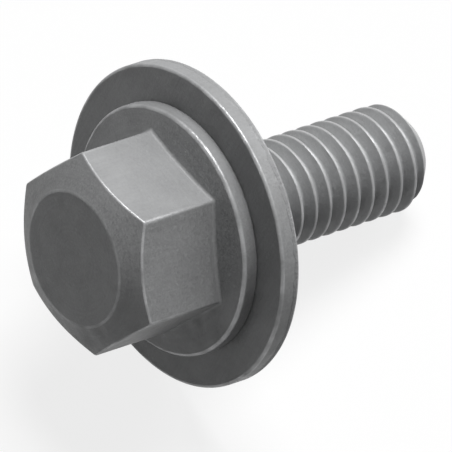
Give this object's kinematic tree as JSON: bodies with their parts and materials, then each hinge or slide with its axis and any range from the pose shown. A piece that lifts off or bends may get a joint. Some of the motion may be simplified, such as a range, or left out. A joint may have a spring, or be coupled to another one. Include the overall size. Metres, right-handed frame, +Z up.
{
  "type": "flange bolt",
  "caption": "Hexagon head bolt with a round flange, a metric shank and a large flat washer held captive under the flange, lying on the washer's rim and the shank's tip.",
  "frame": {"origin": "on the surface that the bolt lies on, under the centre of its bounding box", "axes": "+Z up; the bolt's axis is in the XZ plane, with the tip towards +X and down at 23.3 degrees to the surface, and the head towards -X"},
  "size_m": [0.0234, 0.018, 0.0169],
  "materials": {
    "bolt_steel": "matt grey zinc coating on forged and rolled steel",
    "washer_steel": "matt grey zinc coating on stamped sheet steel"
  },
  "bodies": {
    "bolt": {"bolt": "bolt_steel"},
    "washer": {"washer": "washer_steel"}
  },
  "joints": [
    {"name": "washer_spin", "type": "hinge", "parent": "bolt", "child": "washer", "pos_m": [-0.00323, 0, 0.00846], "axis": [0.9183, 0, -0.3959], "continuous": true}
  ]
}
